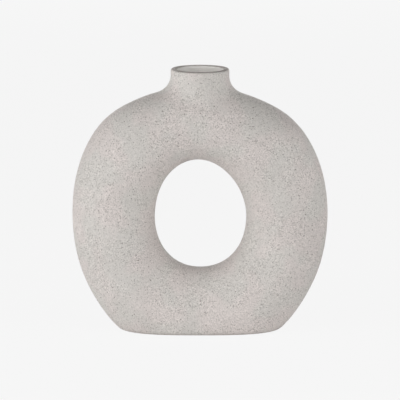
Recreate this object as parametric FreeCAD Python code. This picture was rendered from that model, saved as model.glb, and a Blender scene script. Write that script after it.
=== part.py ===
import FreeCAD, Part
import math
import os
from FreeCAD import Vector

# Ring body: an upright ring of clay with a hole through it. Its outline and its hole are each
# a rounded shape about one centre, with its own rise above the centre and drop below it. The
# base cut is how much of the round base the flat foot takes off.
ring_half_width = 120.7
ring_half_depth = 36.0
crown_rise = 123.8
base_drop = 139.6
base_cut = 31.1
hole_half_width = 42.8
hole_rise = 54.6
hole_drop = 48.9
wall_thickness = 5.0
shoulder_lean = 2.4

# Fullness of the four outlines: 2 is an ellipse, more is squarer, less is slimmer.
crown_fullness = 2.28
base_fullness = 2.0
hole_top_fullness = 1.93
hole_bottom_fullness = 2.14
station_count = 24

# Neck: a short collar that rises from the crown and flares out into the shoulders.
neck_rise = 17.7
mouth_radius = 22.2
lip_wall = 5.2
lip_rounding_share = 0.48
neck_spread = 0.5
neck_flare_radius = 16.0
inner_flare_radius = 10.0

# Foot: a flat slab with a rounded edge and a shallow recess that leaves a ring to stand on.
slab_thickness = 7.2
foot_rounding = 7.6
foot_ring_width = 8.0
recess_depth = 1.5

# Slip that joins the clay parts, and the glaze that lines the inside.
slip_thickness = 1.0
glaze_thickness = 0.5
unglazed_mouth_depth = 15.0

# How far a cutting tool runs past what it cuts, and how far the neck's own seam is turned
# away from the joint between the shells.
overrun = 20.0
seam_turn_degrees = 45

ring_centre_height = base_drop - base_cut
lip_radius = mouth_radius + lip_wall
lip_rounding = lip_wall * lip_rounding_share
crown_height = ring_centre_height + crown_rise
overall_height = crown_height + neck_rise
neck_start = ring_centre_height + (crown_rise + hole_rise) / 2
neck_joint_bottom = crown_height - slip_thickness
foot_joint_top = slab_thickness + slip_thickness
seam_half = slip_thickness / 2
glaze_top = overall_height - unglazed_mouth_depth
tool_reach = ring_half_width + ring_half_depth + overrun


def outline_radius(angle, half_width, rise, drop, top_fullness, bottom_fullness):
    """Distance from the ring's centre to an outline, in the direction of the angle."""
    upper = math.sin(angle) >= 0
    height = rise if upper else drop
    fullness = top_fullness if upper else bottom_fullness
    across = (abs(math.cos(angle)) / half_width) ** fullness
    along = (abs(math.sin(angle)) / height) ** fullness
    return (across + along) ** (-1 / fullness)


def section_poles(angle, inset):
    """The eight poles of the ring's section at one angle, whose curve is an exact ellipse."""
    outer = outline_radius(angle, ring_half_width - inset, crown_rise - inset, base_drop - inset,
                           crown_fullness, base_fullness)
    inner = outline_radius(angle, hole_half_width + inset, hole_rise + inset, hole_drop + inset,
                           hole_top_fullness, hole_bottom_fullness)
    middle = (outer + inner) / 2
    depth = ring_half_depth - inset
    lean = shoulder_lean * max(math.sin(angle), 0) ** 2
    corners = ((middle, -depth), (inner, -depth), (inner, 0), (inner, depth),
               (middle, depth), (outer, depth), (outer, 0), (outer, -depth))
    return [Vector(radius * math.cos(angle) - lean, y, ring_centre_height + radius * math.sin(angle))
            for radius, y in corners]


def ring_solid(inset):
    """The whole ring, drawn in by the inset on every side."""
    sections = [section_poles(math.tau * station / station_count, inset)
                for station in range(station_count)]
    parameters = [station / station_count for station in range(station_count + 1)]
    rails = []
    for rail_points in zip(*sections):
        rail = Part.BSplineCurve()
        rail.interpolate(Points=list(rail_points), PeriodicFlag=True, Parameters=parameters)
        rails.append(rail)
    poles = [list(row) for row in zip(*(rail.getPoles() for rail in rails))]
    weights = [[1, math.sqrt(0.5)] * (len(rails) // 2) for _ in poles]
    quarter_knots = [quarter / 4 for quarter in range(5)]
    surface = Part.BSplineSurface()
    surface.buildFromPolesMultsKnots(poles, rails[0].getMultiplicities(), [2] * len(quarter_knots),
                                     rails[0].getKnots(), quarter_knots, True, True, 3, 2, weights)
    return Part.Solid(Part.Shell([surface.toShape()]))


def level_slice(bottom, top):
    """A block wider than the vase, between two heights."""
    corner = Vector(-tool_reach, -tool_reach, bottom)
    return Part.makeBox(2 * tool_reach, 2 * tool_reach, top - bottom, corner)


def depth_slice(front, back):
    """A block wider and taller than the vase, between two depths."""
    corner = Vector(-tool_reach, front, -overrun)
    return Part.makeBox(2 * tool_reach, back - front, overall_height + 2 * overrun, corner)


def turned(solid):
    """The same solid about the neck's axis, with its own seam turned off the shells' joint."""
    solid.rotate(Vector(0, 0, 0), Vector(0, 0, 1), seam_turn_degrees)
    return solid


def bore(radius):
    """A round bore from inside the crown out past the lip."""
    return turned(Part.makeCylinder(radius, overall_height + overrun - neck_start, Vector(0, 0, neck_start)))


def neck_root_edges(solid, neck_radius):
    """The edges close round the upright axis where the neck meets the crown."""
    edges = []
    for edge in solid.Edges:
        middle = edge.valueAt((edge.FirstParameter + edge.LastParameter) / 2)
        close = math.hypot(middle.x, middle.y) < neck_radius + neck_spread + slip_thickness
        if close and middle.z > ring_centre_height and edge.BoundBox.ZMax < crown_height:
            edges.append(edge)
    return edges


def outer_body():
    """The vase's outside, filled: ring, flared neck and rounded foot."""
    neck = turned(Part.makeCone(lip_radius + neck_spread, lip_radius, overall_height - neck_start,
                                Vector(0, 0, neck_start)))
    body = ring_solid(0).fuse(neck).common(level_slice(0, overall_height + overrun))
    body = body.makeFillet(neck_flare_radius, neck_root_edges(body, lip_radius))
    foot_edges = [edge for edge in body.Edges if edge.BoundBox.ZMax < slab_thickness]
    return body.makeFillet(foot_rounding, foot_edges)


def inner_space(inset, bore_radius, floor, flare_radius):
    """The space inside the walls: the ring drawn in by the inset, and the bore of the neck."""
    space = ring_solid(inset).fuse(bore(bore_radius)).common(level_slice(floor, overall_height + overrun))
    return space.makeFillet(flare_radius, neck_root_edges(space, bore_radius))


def clay_hollow():
    """The hollow in the clay: wider than the mouth by the glaze that it takes below the lip."""
    lined = inner_space(wall_thickness, mouth_radius + glaze_thickness, slab_thickness,
                        inner_flare_radius)
    return lined.common(level_slice(0, glaze_top)).fuse(bore(mouth_radius))


def make_neck_collar(clay):
    """The upper end of the neck, with its rounded lip."""
    collar = clay.common(level_slice(crown_height, overall_height + overrun))
    lip_edges = [edge for edge in collar.Edges if edge.BoundBox.ZMin > overall_height - lip_rounding]
    return collar.makeFillet(lip_rounding, lip_edges)


def make_foot_slab(body):
    """The slab that closes the ring below, recessed so that the vase stands on a ring."""
    slab = body.common(level_slice(0, slab_thickness))
    underside = min(slab.Faces, key=lambda face: face.CenterOfMass.z)
    size = underside.optimalBoundingBox(False)
    shrink = FreeCAD.Matrix()
    shrink.scale(1 - 2 * foot_ring_width / size.XLength, 1 - 2 * foot_ring_width / size.YLength, 1)
    recess = Part.Face(underside.OuterWire.transformGeometry(shrink))
    return slab.cut(recess.extrude(Vector(0, 0, recess_depth)))


def split_seam(shells):
    """The slip between the two shells: one closed ring round the hole, and two outer strips."""
    seam = shells.common(depth_slice(-seam_half, seam_half)).Solids
    hole_ring = min(seam, key=lambda solid: solid.BoundBox.DiagonalLength)
    return hole_ring, [solid for solid in seam if not solid.isSame(hole_ring)]


def make_glaze_lining(hollow):
    """A thin coat on the inside of the walls and the floor, flush with the mouth above it."""
    coated = inner_space(wall_thickness + glaze_thickness, mouth_radius, slab_thickness + glaze_thickness,
                         inner_flare_radius + glaze_thickness)
    return hollow.common(level_slice(0, glaze_top)).cut(coated)


def make_parts():
    """Every piece of the vase, by its name."""
    body = outer_body()
    hollow = clay_hollow()
    clay = body.cut(hollow)
    shells = clay.common(level_slice(foot_joint_top, neck_joint_bottom))
    hole_seam, side_seams = split_seam(shells)
    return {
        "front_shell": shells.common(depth_slice(-tool_reach, -seam_half)),
        "rear_shell": shells.common(depth_slice(seam_half, tool_reach)),
        "side_seam_slip": Part.makeCompound(side_seams),
        "hole_seam_slip": hole_seam,
        "neck_collar": make_neck_collar(clay),
        "neck_joint_slip": clay.common(level_slice(neck_joint_bottom, crown_height)),
        "foot_slab": make_foot_slab(body),
        "foot_joint_slip": clay.common(level_slice(slab_thickness, foot_joint_top)),
        "glaze_lining": make_glaze_lining(hollow),
    }


os.makedirs("parts", exist_ok=True)
for name, shape in make_parts().items():
    shape.exportStep(f"parts/{name}.step")
    box = shape.BoundBox
    print(f"{name}: {len(shape.Solids)} solid(s), valid {shape.isValid()}, {shape.Volume:.0f} mm3,",
          f"x {box.XMin:.1f} to {box.XMax:.1f}, y {box.YMin:.1f} to {box.YMax:.1f},",
          f"z {box.ZMin:.1f} to {box.ZMax:.1f}")
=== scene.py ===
import bmesh
import bpy
import math
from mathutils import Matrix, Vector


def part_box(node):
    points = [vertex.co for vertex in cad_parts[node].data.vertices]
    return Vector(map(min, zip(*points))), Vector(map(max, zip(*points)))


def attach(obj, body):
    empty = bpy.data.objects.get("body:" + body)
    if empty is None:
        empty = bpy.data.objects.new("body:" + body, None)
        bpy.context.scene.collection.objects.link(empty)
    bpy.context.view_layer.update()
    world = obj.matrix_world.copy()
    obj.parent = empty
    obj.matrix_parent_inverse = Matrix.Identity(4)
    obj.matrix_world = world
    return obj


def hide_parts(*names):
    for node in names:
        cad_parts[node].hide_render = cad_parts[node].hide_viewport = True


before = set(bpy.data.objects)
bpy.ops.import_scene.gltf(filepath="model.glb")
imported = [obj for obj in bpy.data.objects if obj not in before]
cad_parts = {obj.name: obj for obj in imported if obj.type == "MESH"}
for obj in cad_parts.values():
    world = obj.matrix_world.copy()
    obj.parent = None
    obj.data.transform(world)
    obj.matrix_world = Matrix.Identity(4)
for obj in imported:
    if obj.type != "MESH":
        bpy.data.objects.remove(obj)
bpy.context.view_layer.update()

# The clay form: ring, neck and foot drawn as one skin of clay with an even wall, the way the outside
# runs on over every joint once the potter has smoothed it. The real pieces are cut from it further down.
ring_centre = 0.1085
ring_radius = 0.0818
ring_tube = 0.0425
crown_stretch = 1.09
base_stretch = 1.15
columns_round_ring = 96
columns_round_tube = 40
neck_opening = (22.5, 63)
foot_opening = (48.75, 99)
flare_rows = 5
pick_margin = 0.0001
hair_width = 0.00001
weld_distance = 0.000001


def lowest(node, axis):
    """Where a node of the vase starts along one axis, to the nearest micrometre."""
    return round(getattr(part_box(node)[0], axis), 6)


def highest(node, axis):
    """Where a node of the vase ends along one axis, to the nearest micrometre."""
    return round(getattr(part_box(node)[1], axis), 6)


def axis_distance(place):
    """How far a place is from the upright axis through the neck."""
    return math.hypot(place.x, place.y)


def ring_angles(place):
    """Degrees round the ring from its crown, and degrees round the tube from its outer line."""
    outward = math.hypot(place.x, place.z - ring_centre) - ring_radius
    return (abs(math.degrees(math.atan2(place.x, place.z - ring_centre))),
            abs(math.degrees(math.atan2(place.y, outward))))


def pick_object(piece):
    """Make one piece the only selected and active object."""
    bpy.ops.object.select_all(action="DESELECT")
    piece.select_set(True)
    bpy.context.view_layer.objects.active = piece


def open_piece(piece):
    """Open one piece in edit mode, with nothing selected in it."""
    pick_object(piece)
    bpy.ops.object.mode_set(mode="EDIT")
    bpy.ops.mesh.select_mode(type="VERT")
    bpy.ops.mesh.select_all(action="DESELECT")


def close_piece():
    """Leave edit mode with the open piece still active."""
    bpy.ops.object.mode_set(mode="OBJECT")


def pick_points(piece, wanted):
    """Select the points of the open piece whose place passes the test."""
    bpy.ops.mesh.select_mode(type="VERT")
    bpy.ops.mesh.select_all(action="DESELECT")
    mesh = bmesh.from_edit_mesh(piece.data)
    for point in mesh.verts:
        if wanted(point.co):
            point.select_set(True)
    mesh.select_flush_mode()
    bmesh.update_edit_mesh(piece.data)


def pick_faces(piece, wanted):
    """Select the faces of the open piece whose middle passes the test."""
    bpy.ops.mesh.select_mode(type="FACE")
    mesh = bmesh.from_edit_mesh(piece.data)
    for face in mesh.faces:
        face.select_set(bool(wanted(face.calc_center_median())))
    bmesh.update_edit_mesh(piece.data)


def pick_rims(piece, wanted):
    """Select the open edges of the open piece whose middle passes the test."""
    bpy.ops.mesh.select_mode(type="EDGE")
    mesh = bmesh.from_edit_mesh(piece.data)
    for edge in mesh.edges:
        middle = (edge.verts[0].co + edge.verts[1].co) / 2
        edge.select_set(len(edge.link_faces) < 2 and bool(wanted(middle)))
    bmesh.update_edit_mesh(piece.data)


def pick_edges(piece, wanted):
    """Select the edges of the open piece whose two ends pass the test together."""
    bpy.ops.mesh.select_mode(type="EDGE")
    mesh = bmesh.from_edit_mesh(piece.data)
    for edge in mesh.edges:
        edge.select_set(bool(wanted(edge.verts[0].co, edge.verts[1].co)))
    bmesh.update_edit_mesh(piece.data)


def finish_modifier(piece, modifier):
    """Apply one modifier of a piece."""
    pick_object(piece)
    bpy.ops.object.modifier_apply(modifier=modifier.name)


def give_group(piece, name, weigh):
    """Give a piece a vertex group whose weight at each point comes from its place."""
    group = piece.vertex_groups.new(name=name)
    for point in piece.data.vertices:
        weight = weigh(point.co)
        if weight > 0:
            group.add([point.index], weight, "REPLACE")


def settle(piece, mould, swell, wanted):
    """Swell the chosen part of a piece, then draw it back along its normals onto the mould."""
    give_group(piece, "settling", lambda place: 1 if wanted(place) else 0)
    open_piece(piece)
    pick_points(piece, wanted)
    if swell:
        bpy.ops.transform.shrink_fatten(value=swell)
    close_piece()
    wrap = piece.modifiers.new("settle", "SHRINKWRAP")
    wrap.target = mould
    wrap.wrap_method = "PROJECT"
    wrap.use_negative_direction = True
    wrap.use_positive_direction = False
    wrap.vertex_group = "settling"
    finish_modifier(piece, wrap)
    piece.vertex_groups.remove(piece.vertex_groups["settling"])


# The mould: a merged copy of the outside of the vase as built, only for the skin to be drawn onto.
bpy.ops.object.select_all(action="DESELECT")
for name in ("front_shell", "rear_shell", "side_seam_slip", "hole_seam_slip", "neck_joint_slip",
             "neck_collar", "foot_joint_slip", "foot_slab"):
    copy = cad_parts[name].copy()
    copy.data = copy.data.copy()
    bpy.context.scene.collection.objects.link(copy)
    copy.select_set(True)
    bpy.context.view_layer.objects.active = copy
bpy.ops.object.join()
mould = bpy.context.object
mould.name = "mould"
bpy.ops.object.mode_set(mode="EDIT")
bpy.ops.mesh.select_all(action="SELECT")
bpy.ops.mesh.remove_doubles(threshold=weld_distance)
bpy.ops.object.mode_set(mode="OBJECT")

# The ring, opened at its crown for the neck and at its base for the foot. Each opening is given in
# degrees round the ring and round the tube.
bpy.ops.object.select_all(action="DESELECT")
bpy.ops.mesh.primitive_torus_add(major_segments=columns_round_ring, minor_segments=columns_round_tube,
                                 major_radius=ring_radius, minor_radius=ring_tube,
                                 location=(0, 0, ring_centre), rotation=(math.radians(90), 0, 0))
form = bpy.context.object
form.name = "clay form"
bpy.ops.object.transform_apply(location=True, rotation=True, scale=True)
open_piece(form)
pick_faces(form, lambda place: (ring_angles(place)[0] < neck_opening[0]
                                and ring_angles(place)[1] < neck_opening[1]))
bpy.ops.mesh.delete(type="FACE")
pick_faces(form, lambda place: (ring_angles(place)[0] > 180 - foot_opening[0]
                                and ring_angles(place)[1] < foot_opening[1]))
bpy.ops.mesh.delete(type="FACE")
pick_points(form, lambda place: place.z > ring_centre + hair_width)
bpy.ops.transform.resize(value=(1, 1, crown_stretch), center_override=(0, 0, ring_centre))
pick_points(form, lambda place: place.z < ring_centre - hair_width)
bpy.ops.transform.resize(value=(1, 1, base_stretch), center_override=(0, 0, ring_centre))
close_piece()
settle(form, mould, 0, lambda place: True)

# The neck: a circle over the crown, joined to the ring by a flare, and raised to the lip.
neck_points = 52
neck_radius = 0.0275
neck_foot = 0.2425
neck_rows = 3
lip_height = highest("neck_collar", "z")
row_rise = (lip_height - neck_foot) / neck_rows
flare_base = 0.2
flare_reach = 0.048
flare_strokes = 10
stroke_share = 0.5
rim_margin = 0.001
row_margin = 0.0005
open_piece(form)
bpy.ops.mesh.primitive_circle_add(vertices=neck_points, radius=neck_radius, location=(0, 0, neck_foot))
pick_rims(form, lambda place: place.z > ring_centre)
bpy.ops.mesh.bridge_edge_loops(number_cuts=flare_rows, interpolation="SURFACE")
pick_points(form, lambda place: (flare_base < place.z < neck_foot - row_margin
                                 and axis_distance(place) < flare_reach))
bpy.ops.mesh.vertices_smooth(factor=stroke_share, repeat=flare_strokes)
pick_rims(form, lambda place: place.z > neck_foot - rim_margin)
for row in range(neck_rows):
    bpy.ops.mesh.extrude_edges_move(TRANSFORM_OT_translate={"value": (0, 0, row_rise)})

# The foot: an oval under the base, joined to the ring, then turned in and closed underneath. Each turn
# has its height and how far it draws the oval in across its width and its depth.
foot_points = 96
foot_half_width = 0.0845
foot_half_depth = highest("rear_shell", "y")
foot_top = 0.0085
foot_turns = ((0.0055, 0.990, 0.985), (0.0030, 0.975, 0.965), (0.0012, 0.962, 0.930),
              (0.0002, 0.950, 0.890), (0.0, 0.955, 0.905))
foot_flare_top = 0.05
foot_flare_strokes = 4
bpy.ops.mesh.select_all(action="DESELECT")
bpy.ops.mesh.primitive_circle_add(vertices=foot_points, radius=foot_half_depth, location=(0, 0, foot_top))
bpy.ops.transform.resize(value=(foot_half_width / foot_half_depth, 1, 1), center_override=(0, 0, 0))
pick_rims(form, lambda place: place.z < ring_centre)
bpy.ops.mesh.bridge_edge_loops(number_cuts=flare_rows, interpolation="SURFACE")
pick_points(form, lambda place: foot_top + row_margin < place.z < foot_flare_top)
bpy.ops.mesh.vertices_smooth(factor=stroke_share, repeat=foot_flare_strokes)
pick_rims(form, lambda place: place.z < foot_top + rim_margin)
reached = foot_top
for height, narrower, slimmer in foot_turns:
    bpy.ops.mesh.extrude_edges_move(TRANSFORM_OT_translate={"value": (0, 0, height - reached)})
    bpy.ops.transform.resize(value=(narrower, slimmer, 1), center_override=(0, 0, height))
    reached = height
bpy.ops.mesh.edge_face_add()
bpy.ops.mesh.select_all(action="SELECT")
bpy.ops.mesh.normals_make_consistent(inside=False)
close_piece()

# The flares, swelled, drawn onto the mould and stroked smooth in three rounds, each gentler than the last.
settling_rounds = ((0.010, 8), (0.006, 6), (0.004, 4))
settled_foot_top = 0.045
stroked_neck_top = 0.243
stroked_neck_reach = 0.05
last_swell = 0.003
settled_body = (0.0001, 0.2465)
for swell, strokes in settling_rounds:
    settle(form, mould, swell, lambda place: foot_top + row_margin < place.z < settled_foot_top)
    open_piece(form)
    pick_points(form, lambda place: (foot_top - pick_margin < place.z < foot_flare_top
                                     or (flare_base < place.z < stroked_neck_top
                                         and axis_distance(place) < stroked_neck_reach)))
    bpy.ops.mesh.vertices_smooth(factor=stroke_share, repeat=strokes)
    close_piece()
settle(form, mould, last_swell, lambda place: settled_body[0] < place.z < settled_body[1])


def ramp(value, start, end):
    """How far a value has come from a start to an end, from 0 to 1."""
    return min(max((value - start) / (end - start), 0), 1)


def ease(value, start, end):
    """The same, with soft ends."""
    share = ramp(value, start, end)
    return share * share * (3 - 2 * share)


def push_out(piece, name, depth, direction, weigh):
    """Move the weighed part of a piece along its normals or one axis."""
    give_group(piece, name, weigh)
    push = piece.modifiers.new(name, "DISPLACE")
    push.vertex_group = name
    push.direction = direction
    push.mid_level = 0
    push.strength = depth
    finish_modifier(piece, push)


def bump(value, rise, fall):
    """1 between a rise and a fall, with soft ends down to 0."""
    return ease(value, *rise) * ease(value, *fall)


# The potter's shaping: shoulders a little fuller than drawn, the crown a little lower beside the neck,
# and the hole a little up and to the right. Each has its spans, in degrees round the ring and the tube.
shoulder_fullness = 0.0013
crest_share = 0.67
crest_round_ring = ((30, 45), (64, 46))
side_round_ring = ((33, 47), (132, 112))
shoulder_round_tube = (105, 15)
neck_root_drop = 0.0009
neck_root_round_ring = ((11, 19), (36, 26))
neck_root_round_tube = (95, 30)
hole_shift = (0.0005, 0.0006)
hole_round_tube = (85, 140)


def shoulder(place):
    """How much of the fuller shoulder a point takes, by its place round the ring and the tube."""
    round_ring, round_tube = ring_angles(place)
    fullness = crest_share * bump(round_ring, *crest_round_ring)
    fullness += (1 - crest_share) * bump(round_ring, *side_round_ring)
    return fullness * ease(round_tube, *shoulder_round_tube)


def neck_root(place):
    """How much of the lower crown beside the neck a point takes."""
    round_ring, round_tube = ring_angles(place)
    return bump(round_ring, *neck_root_round_ring) * ease(round_tube, *neck_root_round_tube)


def hole_wall(place):
    """How much of the hole's small move a point takes: all of it inside the hole, none outside."""
    return ease(ring_angles(place)[1], *hole_round_tube)


push_out(form, "shoulders", shoulder_fullness, "NORMAL", shoulder)
push_out(form, "neck root", -neck_root_drop, "Z", neck_root)
for axis, shift in zip("XZ", hole_shift):
    push_out(form, "hole " + axis, shift, axis, hole_wall)

# The wall: the skin copied inwards, joined to it over a rounded lip, and closed below the floor.
wall = 0.005
mouth_radius = 0.0222
mouth_shrink = mouth_radius / (neck_radius - wall)
lip_round = 0.0023
lip_steps = 3
open_piece(form)
bpy.ops.mesh.select_all(action="SELECT")
bpy.ops.mesh.duplicate()
bpy.ops.transform.shrink_fatten(value=-wall)
bpy.ops.mesh.flip_normals()
bpy.ops.object.vertex_group_assign_new()
form.vertex_groups[-1].name = "hollow"
pick_points(form, lambda place: place.z > neck_foot and axis_distance(place) < neck_radius - wall / 2)
bpy.ops.transform.resize(value=(mouth_shrink, mouth_shrink, 1), center_override=(0, 0, 0))
pick_rims(form, lambda place: place.z > ring_centre)
bpy.ops.mesh.bridge_edge_loops()
pick_edges(form, lambda first, second: (min(first.z, second.z) > lip_height - pick_margin
                                        and abs(axis_distance(first) - axis_distance(second)) < rim_margin))
bpy.ops.mesh.bevel(offset=lip_round, offset_type="OFFSET", segments=lip_steps, profile=0.5, affect="EDGES")
close_piece()

# Last touches: the form smoothed, the lip dipped a little at the front, and the faint unevenness that
# the potter's hands leave everywhere but on the lip and the foot.
form_smoothing = 2
lip_dip = 0.0008
lip_dip_heights = (neck_foot, 0.249)
lip_dip_depths = (0, 0.026)
hand_worked_heights = ((0.012, 0.032), (0.2455, 0.2355))
hand_marks = (("hand hollows", 0.04, 0.0004), ("smoothing strokes", 0.009, 0.00014))
smooth = form.modifiers.new("smooth", "SUBSURF")
smooth.levels = smooth.render_levels = form_smoothing
finish_modifier(form, smooth)
push_out(form, "lip dip", -lip_dip, "Z",
         lambda place: ease(place.z, *lip_dip_heights) * ease(-place.y, *lip_dip_depths))
give_group(form, "hand worked",
           lambda place: ramp(place.z, *hand_worked_heights[0]) * ramp(place.z, *hand_worked_heights[1]))
for pattern_name, pattern_size, depth in hand_marks:
    pattern = bpy.data.textures.new(pattern_name, "CLOUDS")
    pattern.noise_scale = pattern_size
    pattern.noise_depth = 1
    press = form.modifiers.new("press", "DISPLACE")
    press.texture = pattern
    press.texture_coords = "LOCAL"
    press.vertex_group = "hand worked"
    press.mid_level = 1
    press.strength = depth
    finish_modifier(form, press)

# Front and rear shells: the two halves of the hollow ring, pressed from speckled stoneware clay and
# joined edge to edge in the middle of the depth. The outside is left matt, with dark iron specks and
# faint pink and green clouds where the clay took the fire differently.
seam_half = highest("side_seam_slip", "y")
foot_joint_top = highest("foot_joint_slip", "z")
neck_joint_bottom = lowest("neck_joint_slip", "z")
towards_front = (0, -1, 0)
towards_rear = (0, 1, 0)
upwards = (0, 0, 1)
downwards = (0, 0, -1)
smooth_angle = math.radians(40)
cool_clay = (0.600, 0.575, 0.546, 1)
warm_clay = (0.628, 0.580, 0.556, 1)
cloud_scale = 36
cluster_scale = 48
cluster_share = (0.42, 0.92)
narrow_noise = (0.38, 0.62)
wide_noise = (0.3, 0.7)
noise_mean = 0.5
tone_scale = 24
tone_swing = (0.965, 1.035)
tooth_scale = 900
tooth_swing = (-0.23, 0.25)
tooth_clusters = (0.2, 1.0)
tooth_strength = (0.6, 1.15)
wisp_scale = 360
wisp_twist = 1.2
wisp_width = 0.035
wisp_depth = 0.09


def new_group(name, inputs, outputs):
    """An empty shader node group with number inputs and the named outputs."""
    group = bpy.data.node_groups.new(name, "ShaderNodeTree")
    for label, value in inputs.items():
        socket = group.interface.new_socket(name=label, in_out="INPUT", socket_type="NodeSocketFloat")
        socket.default_value = value
    for label, kind in outputs.items():
        group.interface.new_socket(name=label, in_out="OUTPUT", socket_type=kind)
    return group


def add_node(tree, kind, inputs, **options):
    """Add a node, set its options, and give each named socket its value or its link."""
    node = tree.nodes.new(kind)
    for option, value in options.items():
        setattr(node, option, value)
    for label, value in inputs.items():
        if isinstance(value, bpy.types.NodeSocket):
            tree.links.new(value, node.inputs[label])
        else:
            node.inputs[label].default_value = value
    return node


def spread(tree, value, old, new):
    """Stretch a value from one range onto another, with soft ends."""
    return add_node(tree, "ShaderNodeMapRange", {"Value": value, "From Min": old[0], "From Max": old[1],
                                                 "To Min": new[0], "To Max": new[1]},
                    interpolation_type="SMOOTHSTEP").outputs["Result"]


def combine(tree, operation, first, second):
    """One sum on two values."""
    return add_node(tree, "ShaderNodeMath", {0: first, 1: second}, operation=operation).outputs["Value"]


def blend(tree, share, first, second, way="MIX"):
    """Blend one colour over another by a share."""
    return add_node(tree, "ShaderNodeMix", {"Factor": share, "A": first, "B": second},
                    data_type="RGBA", blend_type=way).outputs["Result"]


def object_place(tree):
    """The place on the object itself, which its patterns follow."""
    return add_node(tree, "ShaderNodeTexCoord", {}).outputs["Object"]


def cloud(tree, scale, detail, roughness=0.5, distortion=0.0):
    """A soft noise of the object's own space, between 0 and 1."""
    return add_node(tree, "ShaderNodeTexNoise",
                    {"Vector": object_place(tree), "Scale": scale, "Detail": detail,
                     "Roughness": roughness, "Distortion": distortion}).outputs["Fac"]


# Fired grain: dots of a chosen spacing and size, each a little larger or smaller than the next.
dot_sizes = (0.55, 1.25)
dot_core = 0.45
grain = new_group("fired grain", {"Spacing": 0.002, "Size": 0.2, "Share": 0.5}, {"Mask": "NodeSocketFloat"})
asked = add_node(grain, "NodeGroupInput", {})
cells_per_metre = combine(grain, "DIVIDE", 1, asked.outputs["Spacing"])
cells = add_node(grain, "ShaderNodeTexVoronoi", {"Vector": object_place(grain), "Scale": cells_per_metre})
chance = add_node(grain, "ShaderNodeSeparateColor", {"Color": cells.outputs["Color"]})
kept = combine(grain, "LESS_THAN", chance.outputs["Red"], asked.outputs["Share"])
size = spread(grain, chance.outputs["Green"], (0, 1), dot_sizes)
reach = combine(grain, "MULTIPLY", asked.outputs["Size"], size)
dot = spread(grain, cells.outputs["Distance"], (combine(grain, "MULTIPLY", reach, dot_core), reach), (1, 0))
add_node(grain, "NodeGroupOutput", {"Mask": combine(grain, "MULTIPLY", dot, kept)})

# Speckled clay: the clouds, then the sandy tooth and darker wisps of the dry surface.
speckled = new_group("speckled clay", {"Specks": 1},
                     {"Color": "NodeSocketColor", "Roughness": "NodeSocketFloat", "Height": "NodeSocketFloat",
                      "Fine": "NodeSocketFloat"})
asked = add_node(speckled, "NodeGroupInput", {})
warmth = spread(speckled, cloud(speckled, cloud_scale, detail=1), narrow_noise, (0, 1))
colour = blend(speckled, warmth, cool_clay, warm_clay)
clusters = spread(speckled, cloud(speckled, cluster_scale, detail=2), narrow_noise, cluster_share)
tooth = spread(speckled, cloud(speckled, tooth_scale, detail=3, roughness=0.8), wide_noise, tooth_swing)
tooth = combine(speckled, "MULTIPLY", tooth, spread(speckled, clusters, tooth_clusters, tooth_strength))
tone = spread(speckled, cloud(speckled, tone_scale, detail=2), wide_noise, tone_swing)
wisp = combine(speckled, "SUBTRACT", cloud(speckled, wisp_scale, detail=1, distortion=wisp_twist), noise_mean)
wisp = spread(speckled, combine(speckled, "ABSOLUTE", wisp, 0), (0, wisp_width), (1, 0))
wisp = combine(speckled, "MULTIPLY", combine(speckled, "MULTIPLY", wisp, clusters), wisp_depth)
lightness = combine(speckled, "SUBTRACT", combine(speckled, "ADD", tone, tooth), wisp)
grey = add_node(speckled, "ShaderNodeCombineColor", {"Red": lightness, "Green": lightness, "Blue": lightness})
colour = blend(speckled, 1, colour, grey.outputs["Color"], "MULTIPLY")

# Its specks: pale sand, fine dark grains in clusters, and a few larger spots of iron.
pale_speck = (0.720, 0.690, 0.660, 1)
pale_spacing = 0.0021
pale_size = 0.20
pale_share = 0.55
pale_cover = 0.75
fine_speck = (0.215, 0.190, 0.170, 1)
fine_spacing = 0.00134
fine_size = 0.38
fine_cover = 0.88
iron_speck = (0.105, 0.085, 0.070, 1)
iron_spacing = 0.0040
iron_size = 0.150
iron_share = 0.62
iron_cover = 0.92
fine_shown = combine(speckled, "MULTIPLY", clusters, asked.outputs["Specks"])
iron_shown = combine(speckled, "MULTIPLY", iron_share, asked.outputs["Specks"])
masks = {}
for label, tint, spacing, size, share, cover in (
        ("pale", pale_speck, pale_spacing, pale_size, pale_share, pale_cover),
        ("fine", fine_speck, fine_spacing, fine_size, fine_shown, fine_cover),
        ("iron", iron_speck, iron_spacing, iron_size, iron_shown, iron_cover)):
    dots = add_node(speckled, "ShaderNodeGroup", {"Spacing": spacing, "Size": size, "Share": share},
                    node_tree=grain)
    masks[label] = dots.outputs["Mask"]
    colour = blend(speckled, combine(speckled, "MULTIPLY", masks[label], cover), colour, tint)

# Its relief and gloss: a sandy, leathery surface, pitted and a little glossier where the iron melted out.
sand_scale = 1500
sand_height = 0.35
leather_scale = 300
leather_height = 0.65
iron_pit = 0.25
relief_strength = 0.45
relief_depth = 0.00025
clay_roughness = (0.70, 0.58)
clay_shine = 0.3
iron_gloss = 0.12
sand = combine(speckled, "MULTIPLY", cloud(speckled, sand_scale, detail=3, roughness=0.6), sand_height)
leather = cloud(speckled, leather_scale, detail=3, roughness=0.55)
height = combine(speckled, "ADD", sand, combine(speckled, "MULTIPLY", leather, leather_height))
height = combine(speckled, "SUBTRACT", height, combine(speckled, "MULTIPLY", masks["iron"], iron_pit))
gloss = combine(speckled, "SUBTRACT", spread(speckled, leather, wide_noise, clay_roughness),
                combine(speckled, "MULTIPLY", masks["iron"], iron_gloss))
add_node(speckled, "NodeGroupOutput",
         {"Color": colour, "Roughness": gloss, "Height": height, "Fine": masks["fine"]})


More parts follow.
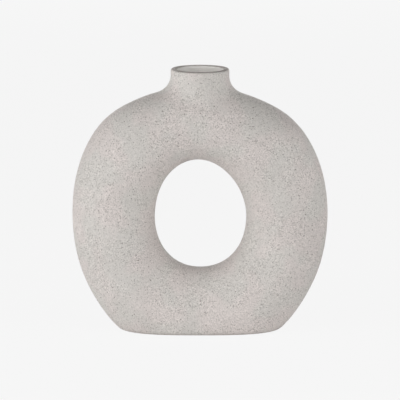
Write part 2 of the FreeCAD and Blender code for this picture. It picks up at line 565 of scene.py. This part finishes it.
def clay_finish(name, specks):
    """A matt speckled stoneware material, and the nodes that a piece may tint further."""
    material = bpy.data.materials.new(name)
    material.use_nodes = True
    tree = material.node_tree
    clay = add_node(tree, "ShaderNodeGroup", {"Specks": specks}, node_tree=speckled)
    relief = add_node(tree, "ShaderNodeBump",
                      {"Height": clay.outputs["Height"], "Strength": relief_strength,
                       "Distance": relief_depth})
    shader = tree.nodes["Principled BSDF"]
    tree.links.new(clay.outputs["Color"], shader.inputs["Base Color"])
    tree.links.new(clay.outputs["Roughness"], shader.inputs["Roughness"])
    tree.links.new(relief.outputs["Normal"], shader.inputs["Normal"])
    shader.inputs["Specular IOR Level"].default_value = clay_shine
    return material, tree, clay, shader


def copy_form(name):
    """A copy of the whole clay form, under its own name."""
    pick_object(form)
    bpy.ops.object.duplicate()
    piece = bpy.context.object
    piece.name = piece.data.name = name
    return piece


def slice_off(place, arrow, fill=True):
    """Cut the open piece along a flat plane, and keep the side that the arrow points to."""
    bpy.ops.mesh.select_all(action="SELECT")
    bpy.ops.mesh.bisect(plane_co=place, plane_no=arrow, use_fill=fill, clear_inner=True,
                        threshold=weld_distance)


def cut_out(name, *cuts):
    """A closed piece of the form between flat cuts, each given by a place and an arrow."""
    piece = copy_form(name)
    open_piece(piece)
    for place, arrow in cuts:
        slice_off(place, arrow)
    close_piece()
    return piece


def finish_piece(piece, material, slot, *nodes):
    """Give a piece its smooth skin and its material, and let it stand for its nodes of the vase."""
    pick_object(piece)
    bpy.ops.object.shade_smooth_by_angle(angle=smooth_angle)
    piece.vertex_groups.clear()
    piece.data.materials.clear()
    piece.data.materials.append(material)
    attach(piece, "root")
    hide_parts(*nodes)


above_foot_joint = ((0, 0, foot_joint_top), upwards)
below_neck_joint = ((0, 0, neck_joint_bottom), downwards)
stoneware = clay_finish("speckled stoneware", 1)[0]
for name, side, arrow in (("front_shell", -seam_half, towards_front),
                          ("rear_shell", seam_half, towards_rear)):
    shell = cut_out(name + "_clay", above_foot_joint, below_neck_joint, ((0, side, 0), arrow))
    finish_piece(shell, stoneware, "stoneware", name)

# Seam slip: liquid clay brushed into the joint between the shells, then smoothed flush. It fired to the
# same speckled stoneware, as two strips down the outer sides and one closed ring round the hole.
seam = cut_out("seam_slip", above_foot_joint, below_neck_joint,
               ((0, -seam_half, 0), towards_rear), ((0, seam_half, 0), towards_front))
open_piece(seam)
bpy.ops.mesh.select_all(action="SELECT")
bpy.ops.mesh.separate(type="LOOSE")
close_piece()
side_strips = []
for strip in list(bpy.context.selected_objects):
    if max(abs(point.co.x) for point in strip.data.vertices) < ring_radius:
        strip.name = strip.data.name = "hole_seam_slip_ring"
        finish_piece(strip, stoneware, "slip", "hole_seam_slip")
    else:
        side_strips.append(strip)
bpy.ops.object.select_all(action="DESELECT")
for strip in side_strips:
    strip.select_set(True)
bpy.context.view_layer.objects.active = side_strips[0]
bpy.ops.object.join()
side_seams = bpy.context.object
side_seams.name = side_seams.data.name = "side_seam_slip_strips"
finish_piece(side_seams, stoneware, "slip", "side_seam_slip")

# Neck collar: a short thrown collar luted onto the crown with slip. The top of its lip is painted darker, as
# painted shade where the lip faces up, and the inside of the mouth is painted paler, as painted light falling
# into it.
neck_joint_top = highest("neck_joint_slip", "z")
collar_specks = 0.55
# Painted shade: the darker colour on the top of the lip, where it faces up.
painted_lip_shade = (0.265, 0.240, 0.222, 1)
lip_shade_heights = (lip_height - 0.0011, lip_height - 0.0001)
lip_shade_waver_scale = 90
lip_shade_waver = 0.0006
lip_shade_inside = (0.0226, 0.0240)
lip_shade_inside_depth = (0.0008, 0)
lip_shade_front_slope = -0.034
lip_shade_cover = 0.82
# Painted light: a paler colour inside the mouth, standing in for light falling into it.
painted_mouth_light = (0.950, 0.920, 0.885, 1)
mouth_light_edge = (mouth_radius + 0.0009, mouth_radius + 0.0003)
mouth_light_cover = 0.85
collar_clay, tree, clay, shader = clay_finish("collar stoneware", collar_specks)
place = add_node(tree, "ShaderNodeSeparateXYZ", {"Vector": object_place(tree)})
from_axis = combine(tree, "ADD", combine(tree, "POWER", place.outputs["X"], 2),
                    combine(tree, "POWER", place.outputs["Y"], 2))
from_axis = combine(tree, "SQRT", from_axis, 0)
lip_shade_edge = combine(tree, "ADD", combine(tree, "MULTIPLY", cloud(tree, lip_shade_waver_scale, detail=2), lip_shade_waver),
               spread(tree, from_axis, lip_shade_inside, lip_shade_inside_depth))
lip_shade_edge = combine(tree, "ADD", lip_shade_edge, combine(tree, "MULTIPLY", place.outputs["Y"], lip_shade_front_slope))
# The painted shade band on the lip top, a little wavering and reaching a little way inside.
lip_shade_mask = spread(tree, combine(tree, "ADD", place.outputs["Z"], lip_shade_edge), lip_shade_heights, (0, 1))
# The painted light inside the mouth, from its inner edge inwards.
inside = spread(tree, from_axis, mouth_light_edge, (0, 1))
colour = blend(tree, combine(tree, "MULTIPLY", inside, mouth_light_cover), clay.outputs["Color"], painted_mouth_light)
colour = blend(tree, combine(tree, "MULTIPLY", lip_shade_mask, lip_shade_cover), colour, painted_lip_shade)
tree.links.new(colour, shader.inputs["Base Color"])
collar = cut_out("neck_collar_clay", ((0, 0, neck_joint_top), upwards))
finish_piece(collar, collar_clay, "stoneware", "neck_collar")

# Neck joint slip: the ring of liquid clay that holds the collar on the crown. It was pressed out between
# the two and smoothed flush inside and out, and it fired to the same speckled stoneware.
neck_joint = cut_out("neck_joint_slip_ring", ((0, 0, neck_joint_bottom), upwards),
                     ((0, 0, neck_joint_top), downwards))
finish_piece(neck_joint, stoneware, "slip", "neck_joint_slip")

# Foot slab: a flat slab luted under the ring with slip, its edge rounded over and its middle cut back a
# little, so that the vase stands on a ring. The underside is bare clay, rubbed smooth where it stands.
slab_top = highest("foot_slab", "z")
foot_trim = 0.00003
recess_share = (0.890, 0.714)
recess_depth = 0.0015
recess_draft = (0.992, 0.98)
bare_clay = (0.430, 0.372, 0.322, 1)
bare_heights = (0.0010, 0.0022)
bare_waver_scale = 120
bare_waver = 0.0008
bare_dryness = 0.15
bare_specks = 0.5
rubbed_clay = (0.300, 0.262, 0.232, 1)
rubbed_heights = (0.0001, 0.0004)
rubbed_scale = 260
rubbed_edges = (0.42, 0.6)
rubbed_cover = 0.8
rubbed_gloss = 0.2
foot_clay, tree, clay, shader = clay_finish("foot stoneware", 1)
height = add_node(tree, "ShaderNodeSeparateXYZ", {"Vector": object_place(tree)}).outputs["Z"]
waver = combine(tree, "MULTIPLY", cloud(tree, bare_waver_scale, detail=3), bare_waver)
bare = spread(tree, combine(tree, "ADD", height, waver), bare_heights, (1, 0))
rubbed = spread(tree, cloud(tree, rubbed_scale, detail=3, roughness=0.6), rubbed_edges, (0, rubbed_cover))
rubbed = combine(tree, "MULTIPLY", spread(tree, height, rubbed_heights, (1, 0)), rubbed)
colour = blend(tree, bare, clay.outputs["Color"], bare_clay)
colour = blend(tree, combine(tree, "MULTIPLY", clay.outputs["Fine"], bare_specks), colour, fine_speck)
colour = blend(tree, rubbed, colour, rubbed_clay)
tree.links.new(colour, shader.inputs["Base Color"])
dryness = combine(tree, "ADD", clay.outputs["Roughness"], combine(tree, "MULTIPLY", bare, bare_dryness))
dryness = combine(tree, "SUBTRACT", dryness, combine(tree, "MULTIPLY", rubbed, rubbed_gloss))
tree.links.new(dryness, shader.inputs["Roughness"])


def peel(name, from_hollow):
    """An open copy of one side of the form's wall: the hollow inside it, or else the skin outside it."""
    piece = copy_form(name)
    open_piece(piece)
    piece.vertex_groups.active_index = piece.vertex_groups["hollow"].index
    bpy.ops.object.vertex_group_select()
    if from_hollow:
        bpy.ops.mesh.select_all(action="INVERT")
    bpy.ops.mesh.delete(type="VERT")
    return piece


slab = peel("foot_slab_clay", False)
slice_off((0, 0, slab_top), downwards)
slice_off((0, 0, foot_trim), upwards)
pick_faces(slab, lambda place: place.z < foot_trim + hair_width / 2)
bpy.ops.mesh.dissolve_faces()
bpy.ops.mesh.extrude_region_move()
bpy.ops.transform.resize(value=(*recess_share, 1), center_override=(0, 0, foot_trim))
bpy.ops.mesh.extrude_region_move(TRANSFORM_OT_translate={"value": (0, 0, recess_depth)})
bpy.ops.transform.resize(value=(*recess_draft, 1), center_override=(0, 0, recess_depth))
close_piece()
finish_piece(slab, foot_clay, "stoneware", "foot_slab")

# Foot joint slip: the oval band of liquid clay that holds the slab under the ring. It too was smoothed
# flush inside and out before the firing, so that no line shows.
foot_joint = cut_out("foot_joint_slip_ring", ((0, 0, slab_top), upwards), ((0, 0, foot_joint_top), downwards))
finish_piece(foot_joint, stoneware, "slip", "foot_joint_slip")

# Glaze lining: the liner glaze that was swilled round inside and poured out, so that the porous clay
# holds water. It is a thin pale satin coat from the floor to a little below the lip.
glaze_top = highest("glaze_lining", "z")
glaze_thickness = 0.0005
glaze_pale = (0.800, 0.782, 0.745, 1)
glaze_thin = (0.700, 0.668, 0.625, 1)
glaze_pool_scale = 35
glaze_pool_edges = (0.4, 0.65)
glaze_roughness = (0.22, 0.36)
glaze_spots = {"Spacing": 0.0035, "Size": 0.14, "Share": 0.4}
glaze_spot_cover = 0.45
glaze_ripple_scale = 160
glaze_ripple_strength = 0.3
glaze_ripple_depth = 0.0003
glaze_coat = 0.3
glaze_coat_roughness = 0.15
lining_detail = 0.5
glaze = bpy.data.materials.new("pale liner glaze")
glaze.use_nodes = True
tree = glaze.node_tree
pooled = cloud(tree, glaze_pool_scale, detail=3)
dots = add_node(tree, "ShaderNodeGroup", glaze_spots, node_tree=grain)
colour = blend(tree, spread(tree, pooled, glaze_pool_edges, (0, 1)), glaze_pale, glaze_thin)
colour = blend(tree, combine(tree, "MULTIPLY", dots.outputs["Mask"], glaze_spot_cover), colour, fine_speck)
relief = add_node(tree, "ShaderNodeBump",
                  {"Height": cloud(tree, glaze_ripple_scale, detail=2),
                   "Strength": glaze_ripple_strength, "Distance": glaze_ripple_depth})
shader = tree.nodes["Principled BSDF"]
tree.links.new(colour, shader.inputs["Base Color"])
tree.links.new(spread(tree, pooled, wide_noise, glaze_roughness), shader.inputs["Roughness"])
tree.links.new(relief.outputs["Normal"], shader.inputs["Normal"])
shader.inputs["Coat Weight"].default_value = glaze_coat
shader.inputs["Coat Roughness"].default_value = glaze_coat_roughness
lining = peel("glaze_lining_coat", True)
slice_off((0, 0, glaze_top), downwards, fill=False)
slice_off((0, 0, slab_top), upwards)
close_piece()
thin = lining.modifiers.new("thin", "DECIMATE")
thin.ratio = lining_detail
finish_modifier(lining, thin)
coat = lining.modifiers.new("coat", "SOLIDIFY")
coat.thickness = glaze_thickness
coat.offset = 1
finish_modifier(lining, coat)
finish_piece(lining, glaze, "liner_glaze", "glaze_lining")
for tool in (form, mould):
    bpy.data.objects.remove(tool)

# Floor: a smooth pale sweep of paper. The camera sees it as an even off-white, a little darker under
# the vase, and so do its reflections.
floor_width = 40
paper_glow = (0.936, 0.936, 0.936, 1)
paper_pigment = (0.88, 0.88, 0.88, 1)
paper_share = 0.96
paper_roughness = 0.9


def seen_by_eye(tree):
    """1 for what the camera sees, straight or by a reflection or through glass, and 0 for other light."""
    rays = add_node(tree, "ShaderNodeLightPath", {})
    seen = combine(tree, "MAXIMUM", rays.outputs["Is Camera Ray"], rays.outputs["Is Glossy Ray"])
    return combine(tree, "MAXIMUM", seen, rays.outputs["Is Transmission Ray"])


bpy.ops.object.select_all(action="DESELECT")
bpy.ops.mesh.primitive_plane_add(size=floor_width)
floor = bpy.context.object
floor.name = "floor"
paper = bpy.data.materials.new("pale paper")
paper.use_nodes = True
tree = paper.node_tree
sheet = tree.nodes["Principled BSDF"]
sheet.inputs["Base Color"].default_value = paper_pigment
sheet.inputs["Roughness"].default_value = paper_roughness
glow = add_node(tree, "ShaderNodeEmission", {"Color": paper_glow})
mixed = add_node(tree, "ShaderNodeMixShader",
                 {"Fac": combine(tree, "MULTIPLY", seen_by_eye(tree), paper_share),
                  1: sheet.outputs["BSDF"], 2: glow.outputs["Emission"]})
tree.links.new(mixed.outputs["Shader"], tree.nodes["Material Output"].inputs["Surface"])
floor.data.materials.append(paper)

# Surround and lamps: a pale studio, dim enough to leave the light to the softboxes. Three stand on each
# side of the camera, three small cards light the low left side, the low right side and the foot, one
# lamp hangs above, one stands behind, and a narrow one reaches into the mouth.
surround_light = 0.06
surround_white = (1, 1, 1, 1)
backdrop_white = (0.9216, 0.9216, 0.9216, 1)
surround = bpy.data.worlds.new("studio")
bpy.context.scene.world = surround
surround.use_nodes = True
tree = surround.node_tree
dim = tree.nodes["Background"]
dim.inputs["Color"].default_value = surround_white
dim.inputs["Strength"].default_value = surround_light
backdrop = add_node(tree, "ShaderNodeBackground", {"Color": backdrop_white})
mixed = add_node(tree, "ShaderNodeMixShader", {"Fac": seen_by_eye(tree), 1: dim.outputs["Background"],
                                               2: backdrop.outputs["Background"]})
tree.links.new(mixed.outputs["Shader"], tree.nodes["World Output"].inputs["Surface"])


def place_lamp(name, azimuth, elevation, power, distance=1.6, aim=0.12, size=(0.7, 0.5)):
    """A soft rectangular lamp that faces the vase at one height, by its compass angle and its tilt."""
    turn = math.radians(azimuth)
    tilt = math.radians(elevation)
    lamp = bpy.data.lights.new(name, "AREA")
    lamp.shape = "RECTANGLE"
    lamp.size, lamp.size_y = size
    lamp.energy = power
    holder = bpy.data.objects.new(name, lamp)
    bpy.context.scene.collection.objects.link(holder)
    holder.location = (distance * math.cos(tilt) * math.sin(turn),
                       -distance * math.cos(tilt) * math.cos(turn), aim + distance * math.sin(tilt))
    holder.rotation_euler = (math.radians(90) - tilt, 0, turn)
    holder.visible_camera = False


place_lamp("left softbox", azimuth=-60, elevation=25, power=6.9)
place_lamp("left low softbox", azimuth=-60, elevation=5, power=4.6)
place_lamp("left side softbox", azimuth=-85, elevation=10, power=2.8)
place_lamp("left low card", azimuth=-60, elevation=0, power=0.39, distance=0.8, aim=0.08, size=(0.5, 0.14))
place_lamp("right softbox", azimuth=60, elevation=25, power=4.5)
place_lamp("right low softbox", azimuth=42, elevation=5, power=3.0)
place_lamp("right side softbox", azimuth=85, elevation=10, power=3.4)
place_lamp("right near card", azimuth=30, elevation=20, power=0.045, distance=0.45, aim=0.05,
           size=(0.14, 0.10))
place_lamp("foot card", azimuth=0, elevation=0, power=0.26, distance=0.4, aim=0.025, size=(0.5, 0.04))
place_lamp("high lamp", azimuth=0, elevation=70, power=3.3, aim=0.2, size=(1.0, 0.6))
place_lamp("rear softbox", azimuth=180, elevation=10, power=30, distance=4.0, size=(2.5, 2.5))
mouth_lamp_tilt = math.radians(40)
mouth_lamp_aim = (0.022, 0.244)
mouth_lamp_beam = math.radians(2.4)
mouth_lamp_power = 8
spot = bpy.data.lights.new("mouth lamp", "SPOT")
spot.energy = mouth_lamp_power
spot.spot_size = mouth_lamp_beam
spot.spot_blend = 0.5
spot.shadow_soft_size = 0.02
spot_holder = bpy.data.objects.new("mouth lamp", spot)
bpy.context.scene.collection.objects.link(spot_holder)
spot_holder.location = (0, mouth_lamp_aim[0] - math.cos(mouth_lamp_tilt),
                        mouth_lamp_aim[1] + math.sin(mouth_lamp_tilt))
spot_holder.rotation_euler = (math.radians(90) - mouth_lamp_tilt, 0, 0)

# Camera: far off with a long lens, a little above the vase.
view_height = 0.109
view_distance = 2.017
view_elevation = math.radians(11)
lens_length = 191.8
film_width = 36
lens_rise = 0.0405
lens = bpy.data.cameras.new("camera")
lens.lens = lens_length
lens.sensor_width = film_width
lens.shift_y = lens_rise
camera = bpy.data.objects.new("camera", lens)
bpy.context.scene.collection.objects.link(camera)
camera.location = (0, -view_distance * math.cos(view_elevation),
                   view_height + view_distance * math.sin(view_elevation))
camera.rotation_euler = (math.radians(90) - view_elevation, 0, 0)
bpy.context.scene.camera = camera
bpy.context.scene.view_settings.view_transform = "Standard"
